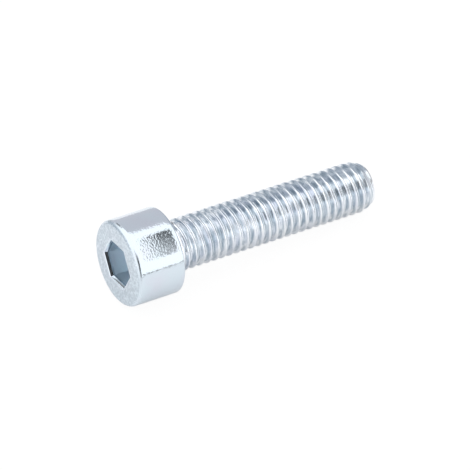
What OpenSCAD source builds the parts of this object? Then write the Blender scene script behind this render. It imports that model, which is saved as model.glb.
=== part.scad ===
// Hex socket cap screw, M8 coarse thread, 35 mm nominal length.
// Local frame: bearing face under the head at the origin, tip towards +Z.
// The finished screw lies on its side, tip towards +X, as it comes to rest on a flat surface.

/* [Head] */
// Diameter of the smooth cylindrical head
head_dia = 13; // [12:0.05:14]
// Height of the head above its bearing face
head_height = 7.65; // [7.3:0.05:9]
// Radius of the rounded edge between the head's end face and its side
face_round = 0.8; // [0.4:0.05:1.3]
// Radius of the small rounded edge on the bearing side
rim_round = 0.25; // [0.1:0.05:0.6]

/* [Hex socket] */
// Width across flats
socket_af = 6.1; // [5:0.05:6.6]
// Depth of the six flats
socket_depth = 4.35; // [3:0.05:4.8]
// Depth of the shallow cone in the socket's floor
floor_cone = 0.6; // [0.2:0.1:1]
// Width across flats at the end face, where the punch has widened the socket
mouth_af = 6.5; // [6.2:0.05:7]
// Depth of the widened lead-in
lead_in = 0.5; // [0.2:0.05:1]

/* [Shank and thread] */
// Length from the bearing face to the tip
shank_length = 34.5; // [20:0.1:50]
// Diameter over the thread crests and the plain neck
thread_dia = 7.76; // [7.4:0.02:8.2]
// Distance from one crest to the next
pitch = 1.25; // [1:0.05:1.5]
// Radial depth of the thread groove
groove_depth = 0.75; // [0.5:0.01:0.8]
// Full angle between the two flanks of a groove in degrees
flank_angle = 60; // [50:1:66]
// Length of the plain neck below the head
neck_length = 1.4; // [0.8:0.1:3]
// Radius of the fillet between the neck and the head
neck_fillet = 0.4; // [0.2:0.05:0.6]
// Turn of the thread against the socket in degrees
thread_turn = 320; // [0:5:355]

/* [Rest] */
// Roll of the lying screw about its own axis, from socket flat side up, in degrees
roll = -6.5; // [-180:0.5:180]

/* [Tip] */
// Length of the slow taper where the tip begins
taper_length = 1.2; // [0.5:0.1:2]
// Slope of the slow taper in degrees
taper_slope = 12; // [8:1:20]
// Length of the steeper point at the end
point_length = 1; // [0.4:0.1:1.6]
// Slope of the steeper point in degrees
point_slope = 29; // [24:1:40]

/* [Hidden] */

$fn = 96;
// Flat sides in one turn of the thread
turn_sides = 32;
// Groove's fade-out at the neck, in turns
fade_turns = 0.6;
// Radial step from the plain neck down to the thread crests
crest_step = 0.01;
// Overlap between joined solids
overlap = 0.5;
// Overlap between the socket's floor cone and its flats
floor_lap = 0.01;

head_r = head_dia / 2;
neck_r = thread_dia / 2;
crest_r = neck_r - crest_step;
flank_width = groove_depth * tan(flank_angle / 2);
crest_width = pitch / 8;
tip_start = shank_length - taper_length - point_length;
taper_end_r = neck_r - taper_length * tan(taper_slope);
tip_r = taper_end_r - point_length * tan(point_slope);
flat_r = socket_af / 2;
corner_r = flat_r / cos(30);
mouth_r = mouth_af / 2 / cos(30);
lead_slope = (mouth_r - corner_r) / lead_in;

// The tilt at which head rim and tip both touch the surface below
rest_rise = head_r - rim_round - neck_r;
rest_run = tip_start + rim_round;
rest_tilt = atan2(rest_rise, rest_run) + asin(rim_round / norm([rest_rise, rest_run]));

// Thread sections, numbered along the helix from inside the head to beyond the tip
thread_start = -pitch / 2;
last_section = turn_sides * ceil((shank_length + overlap - thread_start) / pitch);
fade_start = 360 * (neck_length - thread_start) / pitch - 360;

function section_angle(i) = 360 * i / turn_sides;
function section_depth(i) =
    groove_depth * max(0, min(1, (section_angle(i) - fade_start) / (360 * fade_turns)));
function section_form(depth) = [
    [crest_r - depth, 0],
    [crest_r, flank_width],
    [crest_r, flank_width + crest_width],
    [crest_r - depth, 2 * flank_width + crest_width]
];
function section_points(i) =
    let(a = section_angle(i), z = thread_start + pitch * a / 360)
    [for (p = section_form(section_depth(i))) [p[0] * cos(a), p[0] * sin(a), z + p[1]]];

// Index of point j of section i
function at(i, j) = 4 * i + j;
function quad(a, b, c, d) = [[a, b, c], [a, c, d]];
// Triangles from one middle point to each side of a closed loop
function fan(loop, middle) =
    [for (i = [0:len(loop) - 1]) [loop[i], loop[(i + 1) % len(loop)], middle]];

// One closed solid that winds the groove round a bar, with its two ends closed by fans
module thread_bar() {
    n = last_section;
    t = turn_sides;
    points = [for (i = [0:n]) each section_points(i)];
    low = len(points);
    high = low + 1;
    ridge = [for (i = [0:n - 1], j = [0:2])
        each quad(at(i, j), at(i, j + 1), at(i + 1, j + 1), at(i + 1, j))];
    root = [for (i = [0:n - t - 1])
        each quad(at(i, 3), at(i + t, 0), at(i + t + 1, 0), at(i + 1, 3))];
    low_loop = [for (i = [0:t]) at(i, 0), at(0, 3), at(0, 2), at(0, 1)];
    high_loop = [at(n, 0), at(n, 1), at(n, 2), for (i = [0:t]) at(n - i, 3)];
    middle_low = thread_start + pitch / 2;
    middle_high = thread_start + pitch * (n / t - 0.5) + 2 * flank_width + crest_width;
    polyhedron(
        points = concat(points, [[0, 0, middle_low], [0, 0, middle_high]]),
        faces = concat(ridge, root, fan(low_loop, low), fan(high_loop, high)));
}

// What the point and the end face cut away from the thread
module tip_waste() {
    out = neck_r + overlap;
    top = thread_start + pitch * last_section / turn_sides + 2 * pitch;
    rotate_extrude()
        polygon([
            [neck_r, tip_start],
            [out, tip_start],
            [out, top],
            [0, top],
            [0, shank_length],
            [tip_r, shank_length],
            [taper_end_r, shank_length - point_length]
        ]);
}

module threaded_shank() {
    difference() {
        rotate([0, 0, thread_turn]) thread_bar();
        tip_waste();
    }
}

// Square corner piece outside a quarter circle of radius r
module corner_waste(r) {
    difference() {
        square(r + overlap);
        circle(r);
    }
}

module head_blank() {
    rotate_extrude()
        difference() {
            translate([0, -head_height]) square([head_r, head_height]);
            translate([head_r - rim_round, -rim_round]) corner_waste(rim_round);
            translate([head_r - face_round, face_round - head_height])
                mirror([0, 1]) corner_waste(face_round);
        }
}

module neck() {
    reach = neck_r + neck_fillet;
    rotate_extrude()
        union() {
            translate([0, -overlap]) square([neck_r, neck_length + overlap]);
            difference() {
                translate([0, -overlap]) square([reach, neck_fillet + overlap]);
                translate([reach, neck_fillet]) circle(neck_fillet);
            }
        }
}

// The hex socket with its widened lead-in and conical floor
module socket() {
    translate([0, 0, -head_height]) {
        rotate([0, 0, 30])
            translate([0, 0, -overlap]) {
                cylinder(h = socket_depth + overlap, r = corner_r, $fn = 6);
                cylinder(h = lead_in + overlap, r1 = mouth_r + lead_slope * overlap, r2 = corner_r, $fn = 6);
            }
        translate([0, 0, socket_depth - floor_lap])
            cylinder(h = floor_cone + floor_lap, r1 = flat_r, r2 = 0);
    }
}

module cap_screw() {
    color("#c3ccd6")
        rotate([0, 90 + rest_tilt, 0]) rotate([0, 0, roll]) {
            difference() {
                head_blank();
                socket();
            }
            neck();
            threaded_shank();
        }
}

cap_screw();
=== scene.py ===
"""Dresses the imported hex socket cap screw: rolled thread, forged head, bright zinc and a pale studio."""

import math
from typing import NamedTuple

import bpy
from mathutils import Euler, Matrix, Vector


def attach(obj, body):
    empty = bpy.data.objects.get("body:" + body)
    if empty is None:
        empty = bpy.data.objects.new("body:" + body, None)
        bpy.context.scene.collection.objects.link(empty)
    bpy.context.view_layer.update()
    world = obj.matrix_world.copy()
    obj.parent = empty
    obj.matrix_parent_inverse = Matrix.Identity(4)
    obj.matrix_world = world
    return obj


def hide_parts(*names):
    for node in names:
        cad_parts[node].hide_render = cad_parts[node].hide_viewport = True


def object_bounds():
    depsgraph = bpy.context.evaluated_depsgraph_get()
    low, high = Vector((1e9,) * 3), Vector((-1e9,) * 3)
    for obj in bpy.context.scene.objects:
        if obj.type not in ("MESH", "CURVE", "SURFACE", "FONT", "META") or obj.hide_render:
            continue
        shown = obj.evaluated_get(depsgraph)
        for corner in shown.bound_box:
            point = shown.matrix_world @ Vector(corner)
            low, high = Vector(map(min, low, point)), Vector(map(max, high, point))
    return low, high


bl_info = {
    "name": "Hex Socket Cap Screw",
    "version": (1, 0, 0),
    "blender": (4, 5, 0),
    "location": "3D View > Sidebar > Cap Screw",
    "description": "Builds a zinc-plated hex socket cap screw lying on a pale floor",
    "category": "Add Mesh",
}

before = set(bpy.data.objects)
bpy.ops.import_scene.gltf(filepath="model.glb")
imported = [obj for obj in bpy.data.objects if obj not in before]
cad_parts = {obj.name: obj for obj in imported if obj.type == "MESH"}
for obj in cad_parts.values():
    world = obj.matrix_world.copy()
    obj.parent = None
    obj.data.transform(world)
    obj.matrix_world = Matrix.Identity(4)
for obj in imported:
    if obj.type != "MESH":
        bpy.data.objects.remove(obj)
CAD_NODE = "cap_screw"
CAD_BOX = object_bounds()
PIECE = "zinc_cap_screw"

MM = 0.001
DEG = math.radians(1)

# Columns of points round the screw: a multiple of 12 puts the socket's corners and flats on columns
COLUMNS = 132
# Steps in the rounded corners of the groove, the mouth, the face's edge, and the rim and fillet
GROOVE_STEPS, MOUTH_STEPS, FACE_STEPS, RIM_STEPS = 4, 5, 12, 6
# Rings on the flat end face, outside the corners of the hexagon
FACE_RINGS = (4.2 * MM, 5.0 * MM)
# Rings along the head's side and along the socket's walls, as shares of the way
SIDE_SHARES = (0.1, 0.3, 0.5, 0.7, 0.9)
WALL_SHARES = (0.8, 0.6, 0.4, 0.2, 0.0)
LEAD_SHARES = (0.3, 0.6)
# How far the corner between the socket's floor and its walls is filled, inwards and to the mouth
FLOOR_FILL = (0.06 * MM, 0.07 * MM)
# Share of the socket's half width by which its floor cone begins inside the flats
CONE_INSET = 0.03
# Lengths over which the taper rounds into the point, and the shank and its crests into the taper
POINT_BLEND, TAPER_BLEND = 0.25 * MM, 0.05 * MM
# Length of the small rounded edge at the screw's end
END_EDGE = 0.15 * MM
# Turns over which the groove fades out at the neck
FADE_TURNS = 0.6
# Points of the thread nearer than this to its first or last ring are joined to that ring
JOIN = 0.004 * MM
# A length that only keeps a blend from being zero
TINY = 1e-9
# Edges that turn by more than this are drawn sharp
SHARP = 20 * DEG

# Side of the photograph in pixels, and the width of the sensor that stands for it in millimetres
PHOTO_PIXELS = 470
SENSOR_WIDTH = 36
# What is nearer or farther than this isn't drawn
NEAR, FAR = 0.01, 20
FLOOR_SIDES = 64
CARD_ROWS = 16


# The studio

class Region(NamedTuple):
    """A part of the surround: its direction, and the cosines with it at which it has gone and is full."""
    toward: tuple
    gone: float
    full: float


# Directions of regions and cards are level and turn with the view: X right, Y away, Z up
# The wall behind and to the right
WALL = (Region((0.45, 0.85, -0.27), 0.32, 0.37),)
# Everything below the horizon, apart from the front left and what is straight behind
GAP = (Region((0, 0, -1), 0.055, 0.07), Region((0.75, 0.66, 0), -0.6, -0.4),
       Region((0, -1, 0), -0.97, -0.93))
# An upright strip in front, open at the top
LENS = (Region((1, 0, 0), -0.35, -0.2), Region((-1, 0, 0), -0.35, -0.2), Region((0, -1, 0), 0.1, 0.2),
        Region((0, 0, -1), -0.8, -0.7))


class Card(NamedTuple):
    """A card that only the metal shows, hung opposite one point of the screw. Lengths are millimetres."""
    name: str
    # Which of the stage's colours it has
    shade: str
    # The point: how far along the axis, and how far out from it
    along: float
    out: float
    # The card's direction from the point, and its distance
    toward: tuple
    reach: float
    # Size along the axis, and across it
    size: tuple
    # Whether it is bent round the screw's axis
    bent: bool = False
    # Share of the light that it hides near its first and near its last corner
    weave: tuple = (0.5, 1.0)


CARDS = (
    Card("head_flag", "flag", -2.8, 6.5, (0.672, -0.15, 0.722), 50, (6.0, 58), bent=True),
    Card("mouth_flag", "lens", -7.5, 0, (-0.416, 0.666, 0.619), 60, (24, 24)),
    Card("back_card", "gap", 30, 3.8, (0.48, 0.877, -0.01), 70, (64, 17)),
    Card("end_card", "grey_card", 33, 3.8, (0.45, 0.85, 0.28), 70, (28, 60)),
    Card("shank_card", "grey_card", 31.5, 0, (-0.34, 0.668, 0.663), 20, (46, 32), bent=True,
         weave=(0.95, 0.55)),
    Card("left_card", "grey_card", 17, 3.8, (-0.98, 0.17, 0.09), 90, (124, 67)),
    Card("tip_flag", "flag", 28, 3.8, (0.788, -0.249, 0.563), 60, (22, 50), bent=True, weave=(0.9, 1.0)),
)


# Properties

def length(name, text, millimetres):
    return bpy.props.FloatProperty(name=name, description=text, default=millimetres * MM, precision=5,
                                   unit="LENGTH")


def angle(name, text, degrees):
    return bpy.props.FloatProperty(name=name, description=text, default=degrees * DEG, subtype="ANGLE")


def pixels(name, text, count):
    return bpy.props.FloatProperty(name=name, description=text, default=count, subtype="PIXEL")


def colour(name, text, code):
    return bpy.props.FloatVectorProperty(name=name, description=text, default=linear(code), size=4,
                                         subtype="COLOR", min=0, max=1)


def linear(code):
    """An sRGB hex colour as linear red, green, blue and alpha."""
    parts = [int(code[i:i + 2], 16) / 255 for i in (1, 3, 5)]
    return tuple(p / 12.92 if p <= 0.04045 else ((p + 0.055) / 1.055) ** 2.4 for p in parts) + (1.0,)


class ScrewSizes(bpy.types.PropertyGroup):
    head_dia: length("Head diameter", "Diameter of the cylindrical head", 13)
    head_height: length("Head height", "From the bearing face to the end face", 7.65)
    face_round: length("Face edge radius", "Rounded edge between end face and side", 0.8)
    rim_round: length("Rim radius", "Rounded edge on the bearing side", 0.25)
    socket_af: length("Socket width", "Across the flats of the socket", 6.1)
    socket_depth: length("Socket depth", "Depth of the six flats", 4.35)
    floor_cone: length("Floor cone", "Depth of the cone in the socket's floor", 0.6)
    mouth_af: length("Mouth width", "Across flats at the end face, widened by the punch", 6.5)
    lead_in: length("Lead-in", "Depth of the widened lead-in", 0.5)
    edge_break: length("Edge break", "Small radius on the edge of the mouth", 0.22)
    shank_length: length("Shank length", "From the bearing face to the tip", 34.5)
    thread_dia: length("Thread diameter", "Over the crests", 7.76)
    pitch: length("Pitch", "Distance from crest to crest", 1.25)
    groove_depth: length("Groove depth", "Radial depth of the thread groove", 0.75)
    flank_angle: angle("Flank angle", "Full angle between a groove's two flanks", 60)
    crest_round: length("Crest radius", "Rounded shoulders of the rolled crest", 0.09)
    root_round: length("Root radius", "Rounded bottom of the groove", 0.17)
    thread_turn: angle("Thread turn", "Turn of the thread against the socket", 320)
    neck_length: length("Neck length", "Plain length below the head", 1.4)
    neck_fillet: length("Neck fillet", "Fillet between neck and head", 0.4)
    taper_length: length("Taper length", "Slow taper where the tip begins", 1.2)
    taper_slope: angle("Taper slope", "Slope of the slow taper", 12)
    point_length: length("Point length", "Steeper point at the end", 1)
    point_slope: angle("Point slope", "Slope of the steeper point", 29)
    roll: angle("Roll", "Roll of the lying screw about its own axis", -6.5)


class ScrewFinish(bpy.types.PropertyGroup):
    zinc: colour("Zinc", "Bright zinc with a clear blue passivation", "#D9E4EC")
    # Duller zinc for the head and for the face's spots; deeper in the thread's grooves it is painted shade
    dull_zinc_and_groove_shade: colour("Zinc shade", "Duller, thicker zinc in the grooves and spots", "#BCC7D0")
    zinc_tint: colour("Zinc tint", "Violet drift of the passivation film", "#DADFE9")
    # Zinc in the socket, brighter than the head's: painted light that lifts the shade in the recess
    socket_lifted_zinc: colour("Socket zinc", "Zinc in the socket, where the film keeps its full blue", "#DFEDF4")
    zinc_thread: colour("Thread zinc", "Bright zinc on the rolled thread, with a thinner film", "#F2F5F8")


class StageSettings(bpy.types.PropertyGroup):
    floor_colour: colour("Floor", "Matte white floor", "#F4F4F4")
    floor_radius: length("Floor radius", "Radius of the round floor", 97)
    back_wall: colour("Back wall", "Pale grey wall behind and to the right", "#DFDEE3")
    grey_card: colour("Grey cards", "Cards to the left, above the shank and beyond the tip", "#97A4B1")
    gap: colour("Gap", "Gap below the walls, and the low card behind the screw", "#6E6A68")
    lens: colour("Lens", "Dark strip in front, and the card that the socket's mouth shows", "#1E2226")
    flag: colour("Flags", "Dark flags that the head and the tip show", "#1E2228")
    soft_box: bpy.props.FloatProperty(name="Soft box", description="Brightness of the white surround",
                                      default=1.45, min=0)
    heading: angle("Camera heading", "Turn of the view about the upright axis", -31.06)
    elevation: angle("Camera elevation", "Height of the view above the horizon", 41.39)
    distance: length("Camera distance", "From the camera to the bearing face", 605.7)
    focal: pixels("Focal length", "In pixels of the photograph", 4200)
    origin_x: pixels("Origin X", "Bearing face centre, from the photograph's left side", 162.7)
    origin_y: pixels("Origin Y", "Bearing face centre, from the photograph's top", 249.5)


# Shape

def arc(centre, radius, start, end, steps):
    """Points (radius, height) along a circular arc, angles in degrees from the outward direction."""
    return [(centre[0] + radius * math.cos(a * DEG), centre[1] + radius * math.sin(a * DEG))
            for a in (start + (end - start) * i / steps for i in range(steps + 1))]


def smooth_step(x):
    x = max(0.0, min(1.0, x))
    return x * x * (3 - 2 * x)


def lesser(a, b, blend):
    """The lesser of two lengths, with a rounded change from one to the other."""
    h = max(0.0, blend - abs(a - b)) / blend
    return min(a, b) - h * h * blend / 4


def groove_form(s):
    """(share of a pitch, depth below the crest) from one crest's middle to the next."""
    slope = math.pi / 2 - s.flank_angle / 2
    bend = math.tan(slope / 2)
    # Half of the crest's width, which is an eighth of the pitch
    shoulder = s.pitch / 16
    foot = shoulder + s.groove_depth / math.tan(slope)
    shoulder_start = shoulder - s.crest_round * bend
    root_end = foot + s.root_round * bend
    steps = range(GROOVE_STEPS + 1)
    crest = [(shoulder_start + s.crest_round * math.sin(a), s.crest_round * (1 - math.cos(a)))
             for a in (slope * i / GROOVE_STEPS for i in steps)]
    root = [(root_end - s.root_round * math.sin(a), s.groove_depth - s.root_round * (1 - math.cos(a)))
            for a in (slope * (1 - i / GROOVE_STEPS) for i in steps)]
    (top_z, top_depth), (low_z, low_depth) = crest[-1], root[0]
    flank = [(top_z + (low_z - top_z) * f, top_depth + (low_depth - top_depth) * f)
             for f in (1 / 3, 2 / 3)]
    half = [(0.0, 0.0)] + crest + flank + root
    # A point in the middle of the root, unless the rounded corners nearly meet there
    if s.pitch / 2 - half[-1][0] > 0.02 * s.pitch:
        half.append((s.pitch / 2, s.groove_depth))
    # The other flank mirrors this one, without a second point in the middle
    back = [(s.pitch - z, d) for z, d in reversed(half[1:]) if z < 0.4999 * s.pitch]
    return [(z / s.pitch, d) for z, d in half + back]


class Skin:
    """Collects points and faces of the one closed surface."""

    def __init__(self):
        self.points = []
        self.faces = []
        self.zones = []

    def add(self, r, turn, z):
        self.points.append((r * math.cos(turn), r * math.sin(turn), z))
        return len(self.points) - 1

    def ring(self, r, z):
        """A ring of points at a height; r is a length, or a function of the column's angle."""
        turns = [math.tau * i / COLUMNS for i in range(COLUMNS)]
        return [self.add(r(t) if callable(r) else r, t, z) for t in turns]

    def face(self, corners, zone):
        """A face without its repeated corners, left out if fewer than three remain."""
        kept = [c for i, c in enumerate(corners) if c != corners[i - 1]]
        if len(set(kept)) > 2:
            self.faces.append(kept)
            self.zones.append(zone)

    def band(self, first, second, zone):
        """Faces between two rings, with the outside on the right of the way from first to second."""
        for i in range(COLUMNS):
            j = (i + 1) % COLUMNS
            self.face([first[i], first[j], second[j], second[i]], zone)

    def cap(self, ring, z, zone, up):
        """Closes a ring with a middle point, facing up or down the axis."""
        middle = self.add(0.0, 0.0, z)
        for i in range(COLUMNS):
            j = (i + 1) % COLUMNS
            self.face([ring[i], ring[j], middle] if up else [ring[j], ring[i], middle], zone)


# Material slots of the mesh, in the order in which the screw's operator adds them
HEAD, SOCKET, SHANK, FACE = range(4)


def build_socket(skin, s):
    """The floor, the six walls and the widened lead-in. Returns the ring at the end face."""
    face_z = -s.head_height
    flat_r = s.socket_af / 2
    flare = s.mouth_af / 2 - flat_r
    lean = math.pi / 2 - math.atan2(flare, s.lead_in)
    floor_z = face_z + s.socket_depth
    start_z = face_z + s.lead_in
    fill_in, fill_out = FLOOR_FILL

    def hexagon(widened):
        """Distance from the axis to a hexagon that is wider than the socket, by the column's angle."""
        return lambda turn: (flat_r + widened) / math.cos(((turn / DEG + 30) % 60 - 30) * DEG)

    floor = skin.ring((1 - CONE_INSET) * flat_r, floor_z + CONE_INSET * s.floor_cone)
    skin.cap(floor, floor_z + s.floor_cone, SOCKET, False)
    rings = [floor, skin.ring(hexagon(-fill_in), floor_z), skin.ring(hexagon(0), floor_z - fill_out)]
    rings += [skin.ring(hexagon(0), start_z + (floor_z - start_z) * f) for f in WALL_SHARES]
    rings += [skin.ring(hexagon(flare * f), start_z - s.lead_in * f) for f in LEAD_SHARES]
    reach = s.edge_break * math.tan(lean / 2)
    for step in range(MOUTH_STEPS + 1):
        a = lean * (1 - step / MOUTH_STEPS)
        rings.append(skin.ring(hexagon(flare + reach - s.edge_break * math.sin(a)),
                               face_z + s.edge_break * (1 - math.cos(a))))
    for first, second in zip(rings, rings[1:]):
        skin.band(first, second, SOCKET)
    return rings[-1]


def build_head(skin, s, ring):
    """The end face, rounded edges, side, bearing face and fillet. Returns the fillet's last ring."""
    head_r, neck_r = s.head_dia / 2, s.thread_dia / 2
    face_z = -s.head_height
    side = s.head_height - s.face_round - s.rim_round
    outline = [(r, face_z) for r in FACE_RINGS]
    outline += arc((head_r - s.face_round, face_z + s.face_round), s.face_round, -90, 0, FACE_STEPS)
    outline += [(head_r, face_z + s.face_round + side * f) for f in SIDE_SHARES]
    outline += arc((head_r - s.rim_round, -s.rim_round), s.rim_round, 0, 90, RIM_STEPS)
    outline += [(head_r - 2 * s.rim_round, 0.0)]
    outline += arc((neck_r + s.neck_fillet, s.neck_fillet), s.neck_fillet, 270, 180, RIM_STEPS)
    # The pressed face ends a quarter of the way up its rounded edge
    face_end = face_z + 0.25 * s.face_round
    for r, z in outline:
        after = skin.ring(r, z)
        skin.band(ring, after, FACE if z < face_end else HEAD if z <= 0 else SHANK)
        ring = after
    return ring


def tip_outline(s, z):
    """Radius of the smooth tip at a height: a slow taper that rounds into the steeper point."""
    neck_r = s.thread_dia / 2
    start = s.shank_length - s.taper_length - s.point_length
    if z <= start:
        return neck_r
    taper = neck_r - (z - start) * math.tan(s.taper_slope)
    corner = neck_r - s.taper_length * math.tan(s.taper_slope)
    point = corner - (z - s.shank_length + s.point_length) * math.tan(s.point_slope)
    return lesser(neck_r, lesser(taper, point, POINT_BLEND), TAPER_BLEND)


def build_shank(skin, s, low_ring):
    """The rolled thread as columns of points that climb with the helix, and the tip."""
    crest_r = s.thread_dia / 2
    low, high = s.neck_length, s.shank_length - END_EDGE
    form = groove_form(s)
    flank = s.groove_depth * math.tan(s.flank_angle / 2)
    # Middle of a crest in the first column, where the CAD part's thread has it
    first_crest = -s.pitch / 2 + flank + s.pitch / 16 - s.pitch * s.thread_turn / math.tau
    first_turn = math.floor((low - first_crest) / s.pitch) - 2
    last_turn = math.ceil((high - first_crest) / s.pitch) + 2
    samples = [(first_crest + s.pitch * (turn + share), depth)
               for turn in range(first_turn, last_turn) for share, depth in form]
    high_ring = skin.ring(tip_outline(s, high), high)

    def column(i):
        turn = math.tau * i / COLUMNS
        found = []
        for start_z, depth in samples:
            z = start_z + s.pitch * turn / math.tau
            if z <= low + JOIN:
                found.append(low_ring[i])
            elif z >= high - JOIN:
                found.append(high_ring[i])
            else:
                full = smooth_step((z - low) / (FADE_TURNS * s.pitch))
                blend = TAPER_BLEND * smooth_step((z - low) / s.pitch) + TINY
                found.append(skin.add(lesser(crest_r - full * depth, tip_outline(s, z), blend), turn, z))
        return found

    columns = [column(i) for i in range(COLUMNS)]
    # The last column meets the first one a turn further along the helix
    columns.append(columns[0][len(form):] + [high_ring[0]] * len(form))
    for here, there in zip(columns, columns[1:]):
        for k in range(len(samples) - 1):
            skin.face([here[k], there[k], there[k + 1], here[k + 1]], SHANK)
    # The small rounded edge at the end, as shares of its length inwards and upwards, and the flat end
    end_r = tip_outline(s, high)
    edge = s.shank_length - high
    rings = [high_ring]
    rings += [skin.ring(end_r - inwards * edge, high + upwards * edge)
              for inwards, upwards in ((0.35, 0.55), (1, 0.9), (2, 1))]
    for first, second in zip(rings, rings[1:]):
        skin.band(first, second, SHANK)
    flat = skin.ring(0.5 * end_r, s.shank_length)
    skin.band(rings[-1], flat, FACE)
    skin.cap(flat, s.shank_length, FACE, True)


def rest_matrix(s):
    """The screw's own frame, bearing face at the origin and tip along +Z, turned as it lies at rest."""
    rise = s.head_dia / 2 - s.rim_round - s.thread_dia / 2
    run = s.shank_length - s.taper_length - s.point_length + s.rim_round
    tilt = math.atan2(rise, run) + math.asin(s.rim_round / math.hypot(rise, run))
    return Matrix.Rotation(math.pi / 2 + tilt, 4, "Y") @ Matrix.Rotation(s.roll, 4, "Z")


# Materials

def node(tree, kind, inputs=None, **settings):
    """Adds a node, sets its properties, and gives each named input a value or a link."""
    made = tree.nodes.new(kind)
    for name, value in settings.items():
        setattr(made, name, value)
    for name, value in (inputs or {}).items():
        if isinstance(value, bpy.types.NodeSocket):
            tree.links.new(value, made.inputs[name])
        else:
            made.inputs[name].default_value = value
    return made


def blank_material(name):
    material = bpy.data.materials.new(name)
    material.use_nodes = True
    material.node_tree.nodes.clear()
    return material, material.node_tree


def per(millimetres):
    """Texture scale at which one cell is about this many millimetres."""
    return 1 / (millimetres * MM)


def screw_place(tree, s):
    """Position in the screw's own frame: bearing face at the origin, axis along Z."""
    back = rest_matrix(s).inverted().to_euler()
    seen = node(tree, "ShaderNodeTexCoord").outputs["Object"]
    return node(tree, "ShaderNodeMapping", {"Vector": seen, "Rotation": tuple(back)}).outputs["Vector"]


def zinc_colour(tree, finish, place, bright, shade):
    """Bright zinc that drifts to violet in soft clouds, and turns duller with the factor shade; on the
    thread that dulling is partly painted groove shade.
    """
    cloud_size = 3
    # Values of the noise between which the colour drifts
    drift_start, drift_end = 0.4, 0.7
    clouds = node(tree, "ShaderNodeTexNoise", {"Vector": place, "Scale": per(cloud_size), "Detail": 3.0})
    drift = node(tree, "ShaderNodeMapRange", {
        "Value": clouds.outputs["Fac"], "From Min": drift_start, "From Max": drift_end})
    tinted = node(tree, "ShaderNodeMix", {
        0: drift.outputs["Result"], 6: tuple(bright), 7: tuple(finish.zinc_tint)}, data_type="RGBA")
    return node(tree, "ShaderNodeMix", {
        0: shade, 6: tinted.outputs[2], 7: tuple(finish.dull_zinc_and_groove_shade)}, data_type="RGBA").outputs[2]


def plate(tree, colour_socket, roughness, bump):
    """Finishes a material as bare metal with the given colour, roughness and bump."""
    shader = node(tree, "ShaderNodeBsdfPrincipled", {
        "Base Color": colour_socket, "Metallic": 1.0, "Roughness": roughness,
        "Normal": bump.outputs["Normal"]})
    node(tree, "ShaderNodeOutputMaterial", {"Surface": shader.outputs["BSDF"]})


def head_material(finish, s):
    """Bright zinc on a cold-forged head: a soft mirror with a faint orange-peel grain."""
    material, tree = blank_material("bright_zinc_forged_head")
    place = screw_place(tree, s)
    # Real orange peel is finer than this, and is drawn as coarse as it needs to show
    grain_size, grain_height = 0.27, 0.01 * MM
    face_rough, side_rough = 0.3, 0.1
    # Share of the face's rounded edge that is as dull as the face, before it turns polished
    dull_edge = 0.4
    shade = 0.25
    grain = node(tree, "ShaderNodeTexNoise", {"Vector": place, "Scale": per(grain_size), "Detail": 0.0})
    bump = node(tree, "ShaderNodeBump", {
        "Height": grain.outputs["Fac"], "Strength": 1.0, "Distance": grain_height})
    height = node(tree, "ShaderNodeSeparateXYZ", {"Vector": place}).outputs["Z"]
    rough = node(tree, "ShaderNodeMapRange", {
        "Value": height, "From Min": dull_edge * s.face_round - s.head_height,
        "From Max": s.face_round - s.head_height, "To Min": face_rough, "To Max": side_rough})
    plate(tree, zinc_colour(tree, finish, place, finish.zinc, shade), rough.outputs["Result"], bump)
    return material


def face_material(finish, s):
    """Bright zinc on the forged end face: pressed by the die, so it is duller and mottled."""
    material, tree = blank_material("bright_zinc_forged_face")
    place = screw_place(tree, s)
    # The real mottling is finer than this, and is drawn as coarse as it needs to show
    grain_size, grain_height = 0.3, 0.06 * MM
    # Values of the noise between which a spot ends, and the shade in a spot and beside it
    spot_start, spot_end, spot_shade, plain_shade = 0.3, 0.7, 1.5, -0.1
    roughness = 0.3
    grain = node(tree, "ShaderNodeTexNoise", {"Vector": place, "Scale": per(grain_size), "Detail": 2.0})
    spots = node(tree, "ShaderNodeMapRange", {
        "Value": grain.outputs["Fac"], "From Min": spot_start, "From Max": spot_end,
        "To Min": spot_shade, "To Max": plain_shade})
    bump = node(tree, "ShaderNodeBump", {
        "Height": grain.outputs["Fac"], "Strength": 1.0, "Distance": grain_height})
    plate(tree, zinc_colour(tree, finish, place, finish.zinc, spots.outputs["Result"]), roughness, bump)
    return material


def socket_material(finish, s):
    """Zinc plating in a punched socket: draw marks along the walls, duller below the lead-in."""
    material, tree = blank_material("bright_zinc_punched_socket")
    place = screw_place(tree, s)
    mark_width, mark_length, mark_height, mark_strength = 0.2, 4, 0.01 * MM, 0.4
    mouth_rough, wall_rough = 0.12, 0.36
    # The walls turn dull over this length, below the lead-in
    change = 0.4 * MM
    change_start = s.lead_in - s.head_height
    stretch = node(tree, "ShaderNodeMapping", {
        "Vector": place, "Scale": (per(mark_width), per(mark_width), per(mark_length))})
    marks = node(tree, "ShaderNodeTexNoise", {
        "Vector": stretch.outputs["Vector"], "Scale": 1.0, "Detail": 3.0})
    bump = node(tree, "ShaderNodeBump", {
        "Height": marks.outputs["Fac"], "Strength": mark_strength, "Distance": mark_height})
    height = node(tree, "ShaderNodeSeparateXYZ", {"Vector": place}).outputs["Z"]
    rough = node(tree, "ShaderNodeMapRange", {
        "Value": height, "From Min": change_start, "From Max": change_start + change,
        "To Min": mouth_rough, "To Max": wall_rough})
    # Painted light: the brighter socket zinc, left undulled, lifts the shade inside the socket
    plate(tree, zinc_colour(tree, finish, place, finish.socket_lifted_zinc, 0.0), rough.outputs["Result"], bump)
    return material


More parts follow.
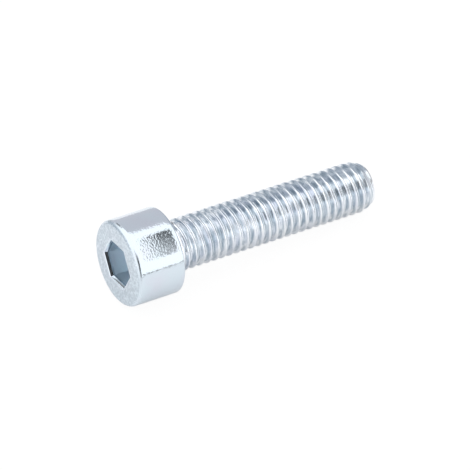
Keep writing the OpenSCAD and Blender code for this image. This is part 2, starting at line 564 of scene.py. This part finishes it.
def thread_material(finish, s):
    """Bright zinc on a rolled thread: fine lines that run with the helix, darker down in the groove as
    painted shade.
    """
    material, tree = blank_material("bright_zinc_rolled_thread")
    place = screw_place(tree, s)
    # A line runs for millimetres along the helix. Real lines are finer across than this, and are drawn
    # as coarse as they need to show
    line_length, line_width, line_height = 2.5, 0.2, 0.026 * MM
    crest_rough, root_rough = 0.14, 0.24
    # Share of the groove's depth over which the lines darken, a painted shade deeper in the groove, and how
    # dark they get
    groove_shade_start, groove_shade_end, deepest_groove_shade = 0.05, 0.3, 0.9
    # Values of the noise between which a dull line begins and is full
    line_start, line_full = 0.42, 0.58
    # Height along the axis with the helix's own climb taken off
    parts = node(tree, "ShaderNodeSeparateXYZ", {"Vector": place})
    around = node(tree, "ShaderNodeMath", {
        0: parts.outputs["Y"], 1: parts.outputs["X"]}, operation="ARCTAN2")
    climb = node(tree, "ShaderNodeMath", {
        0: around.outputs[0], 1: s.pitch / math.tau}, operation="MULTIPLY")
    level = node(tree, "ShaderNodeMath", {
        0: parts.outputs["Z"], 1: climb.outputs[0]}, operation="SUBTRACT")
    unwound = node(tree, "ShaderNodeCombineXYZ", {
        "X": parts.outputs["X"], "Y": parts.outputs["Y"], "Z": level.outputs[0]})
    lined = node(tree, "ShaderNodeVectorMath", {
        0: unwound.outputs["Vector"], 1: (per(line_length), per(line_length), per(line_width))},
        operation="MULTIPLY")
    lines = node(tree, "ShaderNodeTexNoise", {
        "Vector": lined.outputs["Vector"], "Scale": 1.0, "Detail": 1.0})
    bump = node(tree, "ShaderNodeBump", {
        "Height": lines.outputs["Fac"], "Strength": 1.0, "Distance": line_height})
    # Depth in the groove, from 0 at the crests to 1 at the root
    flat = node(tree, "ShaderNodeCombineXYZ", {"X": parts.outputs["X"], "Y": parts.outputs["Y"]})
    radius = node(tree, "ShaderNodeVectorMath", {0: flat.outputs["Vector"]}, operation="LENGTH")
    depth = node(tree, "ShaderNodeMapRange", {
        "Value": radius.outputs["Value"], "From Min": s.thread_dia / 2,
        "From Max": s.thread_dia / 2 - s.groove_depth})
    rough = node(tree, "ShaderNodeMapRange", {
        "Value": depth.outputs["Result"], "To Min": crest_rough, "To Max": root_rough})
    # Painted shade: the lines darken more, the deeper they lie in the groove
    groove_shade = node(tree, "ShaderNodeMapRange", {
        "Value": depth.outputs["Result"], "From Min": groove_shade_start, "From Max": groove_shade_end, "To Max": deepest_groove_shade})
    lines_and_groove_shade = node(tree, "ShaderNodeMapRange", {
        "Value": lines.outputs["Fac"], "From Min": line_start, "From Max": line_full,
        "To Max": groove_shade.outputs["Result"]})
    plate(tree, zinc_colour(tree, finish, place, finish.zinc_thread, lines_and_groove_shade.outputs["Result"]),
          rough.outputs["Result"], bump)
    return material


def floor_material(stage):
    """Matte white card: lifted nearly to white where it is seen directly, and a little in the metal."""
    material, tree = blank_material("matte_white_card")
    white_glow = 1.02
    # Shares of the card that are lifted; the rest of it keeps the shadow
    lift_direct, lift_mirrored = 0.92, 0.15
    card = node(tree, "ShaderNodeBsdfDiffuse", {"Color": tuple(stage.floor_colour)})
    glow = node(tree, "ShaderNodeEmission", {"Color": (1, 1, 1, 1), "Strength": white_glow})
    path = node(tree, "ShaderNodeLightPath")
    direct = node(tree, "ShaderNodeMath", {
        0: path.outputs["Is Camera Ray"], 1: lift_direct}, operation="MULTIPLY")
    mirrored = node(tree, "ShaderNodeMath", {
        0: path.outputs["Is Glossy Ray"], 1: path.outputs["Is Transmission Ray"]}, operation="MAXIMUM")
    share = node(tree, "ShaderNodeMath", {
        0: mirrored.outputs[0], 1: lift_mirrored, 2: direct.outputs[0]}, operation="MULTIPLY_ADD")
    shader = node(tree, "ShaderNodeMixShader", {
        0: share.outputs[0], 1: card.outputs["BSDF"], 2: glow.outputs["Emission"]})
    node(tree, "ShaderNodeOutputMaterial", {"Surface": shader.outputs["Shader"]})
    return material


def felt_material(name, shade, weave):
    """Grey or dark felt with frayed edges: its reflection fades out towards the rim, and with its weave."""
    material, tree = blank_material(name)
    # Width of the frayed edge as a share of the card, and where the weave begins and ends to change
    frayed = 0.1
    weave_start, weave_end = 0.4, 1.4
    place = node(tree, "ShaderNodeTexCoord").outputs["UV"]
    parts = node(tree, "ShaderNodeSeparateXYZ", {"Vector": place})
    edges = []
    for axis in ("X", "Y"):
        side = node(tree, "ShaderNodeMath", {0: parts.outputs[axis], 1: 0.5}, operation="SUBTRACT")
        off = node(tree, "ShaderNodeMath", {0: side.outputs[0]}, operation="ABSOLUTE")
        edge = node(tree, "ShaderNodeMapRange", {
            "Value": off.outputs[0], "From Min": 0.5, "From Max": 0.5 - frayed},
            interpolation_type="SMOOTHSTEP")
        edges.append(edge.outputs["Result"])
    corner = node(tree, "ShaderNodeMath", {0: parts.outputs["X"], 1: parts.outputs["Y"]}, operation="ADD")
    dense = node(tree, "ShaderNodeMapRange", {
        "Value": corner.outputs[0], "From Min": weave_start, "From Max": weave_end,
        "To Min": weave[0], "To Max": weave[1]})
    framed = node(tree, "ShaderNodeMath", {0: edges[0], 1: edges[1]}, operation="MULTIPLY")
    share = node(tree, "ShaderNodeMath", {
        0: framed.outputs[0], 1: dense.outputs["Result"]}, operation="MULTIPLY")
    clear = node(tree, "ShaderNodeBsdfTransparent")
    felt = node(tree, "ShaderNodeEmission", {"Color": tuple(shade)})
    shader = node(tree, "ShaderNodeMixShader", {
        0: share.outputs[0], 1: clear.outputs["BSDF"], 2: felt.outputs["Emission"]})
    node(tree, "ShaderNodeOutputMaterial", {"Surface": shader.outputs["Shader"]})
    return material


# Operators

class CAPSCREW_OT_screw(bpy.types.Operator):
    """Build the screw as one closed surface and lay it where the CAD part lies"""
    bl_idname = "capscrew.screw"
    bl_label = "Build Screw"

    def execute(self, context):
        s, finish = context.scene.screw_sizes, context.scene.screw_finish
        skin = Skin()
        face_ring = build_socket(skin, s)
        fillet_ring = build_head(skin, s, face_ring)
        neck_ring = skin.ring(s.thread_dia / 2, s.neck_length)
        skin.band(fillet_ring, neck_ring, SHANK)
        build_shank(skin, s, neck_ring)
        mesh = bpy.data.meshes.new(PIECE)
        mesh.from_pydata(skin.points, [], skin.faces)
        for make in (head_material, socket_material, thread_material, face_material):
            mesh.materials.append(make(finish, s))
        mesh.polygons.foreach_set("material_index", skin.zones)
        mesh.polygons.foreach_set("use_smooth", [True] * len(skin.faces))
        if mesh.validate():
            raise RuntimeError("the screw's surface has faces that don't hold")
        mesh.set_sharp_from_angle(angle=SHARP)
        mesh.transform(rest_matrix(s))
        piece = bpy.data.objects.new(PIECE, mesh)
        context.scene.collection.objects.link(piece)
        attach(piece, "root")
        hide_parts(CAD_NODE)
        return {"FINISHED"}


class CAPSCREW_OT_stage(bpy.types.Operator):
    """Lay the floor, light the studio and set the camera"""
    bl_idname = "capscrew.stage"
    bl_label = "Build Stage"

    def execute(self, context):
        stage = context.scene.screw_stage
        self.lay_floor(context, stage)
        self.light(context, stage)
        self.hang_cards(context, stage)
        self.aim(context, stage)
        context.scene.view_settings.view_transform = "Standard"
        return {"FINISHED"}

    def lay_floor(self, context, stage):
        """A round floor at the lowest point of the screw."""
        turns = [math.tau * i / FLOOR_SIDES for i in range(FLOOR_SIDES)]
        rim = [(stage.floor_radius * math.cos(t), stage.floor_radius * math.sin(t), CAD_BOX[0][2])
               for t in turns]
        mesh = bpy.data.meshes.new("floor")
        mesh.from_pydata(rim, [], [range(FLOOR_SIDES)])
        mesh.materials.append(floor_material(stage))
        floor = bpy.data.objects.new("floor", mesh)
        context.scene.collection.objects.link(floor)

    def light(self, context, stage):
        """The studio as the screw sees it: a white surround with a wall, a gap and a dark lens side."""
        world = bpy.data.worlds.new("studio")
        world.use_nodes = True
        tree = world.node_tree
        tree.nodes.clear()
        seen_from = node(tree, "ShaderNodeTexCoord").outputs["Generated"]
        way = node(tree, "ShaderNodeVectorRotate", {
            "Vector": seen_from, "Angle": -stage.heading}, rotation_type="Z_AXIS").outputs["Vector"]

        def meet(regions):
            """1 in the directions that lie in every one of the regions, with soft edges."""
            whole = None
            for region in regions:
                near = node(tree, "ShaderNodeVectorMath", {
                    0: way, 1: region.toward}, operation="DOT_PRODUCT")
                share = node(tree, "ShaderNodeMapRange", {
                    "Value": near.outputs["Value"], "From Min": region.gone, "From Max": region.full},
                    interpolation_type="SMOOTHSTEP").outputs["Result"]
                if whole is not None:
                    share = node(tree, "ShaderNodeMath", {
                        0: whole, 1: share}, operation="MULTIPLY").outputs[0]
                whole = share
            return whole

        seen = (stage.soft_box, stage.soft_box, stage.soft_box, 1.0)
        # The camera itself sees plain white
        direct = node(tree, "ShaderNodeLightPath").outputs["Is Camera Ray"]
        layers = ((meet(WALL), stage.back_wall), (meet(GAP), stage.gap), (meet(LENS), stage.lens),
                  (direct, (1, 1, 1, 1)))
        for share, shade in layers:
            seen = node(tree, "ShaderNodeMix", {
                0: share, 6: seen, 7: tuple(shade)}, data_type="RGBA").outputs[2]
        surround = node(tree, "ShaderNodeBackground", {"Color": seen, "Strength": 1.0})
        node(tree, "ShaderNodeOutputWorld", {"Surface": surround.outputs["Background"]})
        context.scene.world = world

    def hang_cards(self, context, stage):
        """Grey and dark cards that only the metal shows, each opposite one point of the screw."""
        room = Matrix.Rotation(stage.heading, 4, "Z")
        axis = (rest_matrix(context.scene.screw_sizes) @ Vector((0, 0, 1))).normalized()
        for card in CARDS:
            toward = (room @ Vector(card.toward)).normalized()
            outward = (toward - axis.dot(toward) * axis).normalized()
            along = axis if card.bent else (axis - axis.dot(toward) * toward).normalized()
            across = toward.cross(along).normalized()
            middle = (axis * card.along + outward * card.out + toward * card.reach) * MM
            radius = middle.dot(outward)
            points, spots = [], []
            for row in range(CARD_ROWS + 1):
                off = (row / CARD_ROWS - 0.5) * card.size[1] * MM
                bend = Matrix.Rotation(-off / radius if card.bent else 0, 3, axis)
                shift = Vector() if card.bent else across * off
                points += [bend @ (middle + along * side * card.size[0] * MM / 2) + shift
                           for side in (-1, 1)]
                spots += [(0, row / CARD_ROWS), (1, row / CARD_ROWS)]
            faces = [(2 * row, 2 * row + 1, 2 * row + 3, 2 * row + 2) for row in range(CARD_ROWS)]
            mesh = bpy.data.meshes.new(card.name)
            mesh.from_pydata(points, [], faces)
            layer = mesh.uv_layers.new(name="card").data
            for loop in mesh.loops:
                layer[loop.index].uv = spots[loop.vertex_index]
            felt = felt_material(card.name + "_felt", getattr(stage, card.shade), card.weave)
            mesh.materials.append(felt)
            hung = bpy.data.objects.new(card.name, mesh)
            context.scene.collection.objects.link(hung)
            hung.visible_camera = hung.visible_diffuse = hung.visible_shadow = False

    def aim(self, context, stage):
        """The camera at the photograph's angle, with the bearing face where the photograph has it."""
        data = bpy.data.cameras.new("camera")
        data.sensor_width = SENSOR_WIDTH
        data.lens = SENSOR_WIDTH * stage.focal / PHOTO_PIXELS
        data.clip_start, data.clip_end = NEAR, FAR
        camera = bpy.data.objects.new("camera", data)
        context.scene.collection.objects.link(camera)
        turned = Euler((math.pi / 2 - stage.elevation, 0, stage.heading)).to_matrix()
        across = (stage.origin_x - PHOTO_PIXELS / 2) / stage.focal * stage.distance
        down = (stage.origin_y - PHOTO_PIXELS / 2) / stage.focal * stage.distance
        place = turned @ Vector((-across, down, stage.distance))
        camera.matrix_world = Matrix.Translation(place) @ turned.to_4x4()
        context.scene.camera = camera


class CAPSCREW_PT_panel(bpy.types.Panel):
    """Lists the screw's sizes, finish and stage, and builds them"""
    bl_label = "Cap Screw"
    bl_idname = "CAPSCREW_PT_panel"
    bl_space_type = "VIEW_3D"
    bl_region_type = "UI"
    bl_category = "Cap Screw"

    def draw(self, context):
        for group in (context.scene.screw_sizes, context.scene.screw_finish, context.scene.screw_stage):
            box = self.layout.box()
            for name in group.__annotations__:
                box.prop(group, name)
        self.layout.operator(CAPSCREW_OT_screw.bl_idname)
        self.layout.operator(CAPSCREW_OT_stage.bl_idname)


CLASSES = (ScrewSizes, ScrewFinish, StageSettings, CAPSCREW_OT_screw, CAPSCREW_OT_stage, CAPSCREW_PT_panel)


def register():
    for item in CLASSES:
        bpy.utils.register_class(item)
    bpy.types.Scene.screw_sizes = bpy.props.PointerProperty(type=ScrewSizes)
    bpy.types.Scene.screw_finish = bpy.props.PointerProperty(type=ScrewFinish)
    bpy.types.Scene.screw_stage = bpy.props.PointerProperty(type=StageSettings)


def unregister():
    del bpy.types.Scene.screw_stage
    del bpy.types.Scene.screw_finish
    del bpy.types.Scene.screw_sizes
    for item in reversed(CLASSES):
        bpy.utils.unregister_class(item)


def main():
    register()
    bpy.ops.capscrew.screw()
    bpy.ops.capscrew.stage()


if __name__ == "__main__":
    main()
